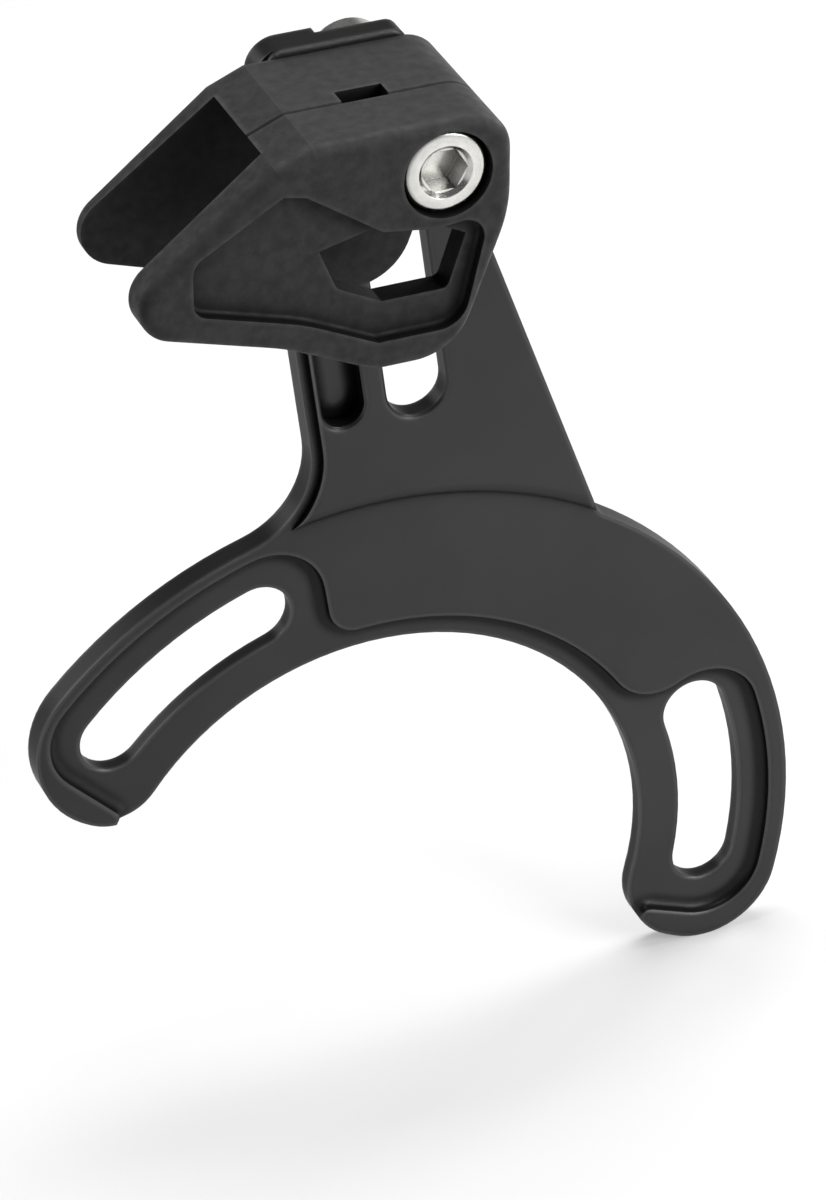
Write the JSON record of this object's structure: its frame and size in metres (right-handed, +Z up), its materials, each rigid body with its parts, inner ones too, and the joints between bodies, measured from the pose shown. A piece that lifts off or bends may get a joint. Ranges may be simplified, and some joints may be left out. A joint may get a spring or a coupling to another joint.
{
  "type": "bicycle chain guide",
  "caption": "Bicycle chain guide: a slotted crescent plate with an arm, and a chain cage that clamps anywhere along the arm's slot.",
  "frame": {"origin": "on the crank axis, on the plate's rear mounting face", "axes": "+X to the right and +Z up as the plate stands on its frame, front of the guide towards -Y"},
  "size_m": [0.0812, 0.0252, 0.1134],
  "materials": {
    "anodised_black": "satin black anodised",
    "black_nylon": "fine moulded grain",
    "bright_steel": "bright zinc"
  },
  "bodies": {
    "backplate": {"backplate": "anodised_black"},
    "cage": {"outer_guide": "black_nylon", "inner_guide": "black_nylon", "clamp_bolt": "bright_steel", "clamp_nut": "bright_steel"}
  },
  "joints": [
    {"name": "cage_slide", "type": "slide", "parent": "backplate", "child": "cage", "axis": [-0.1271, 0, 0.9919], "range_m": [-0.0332, 0.001]}
  ]
}
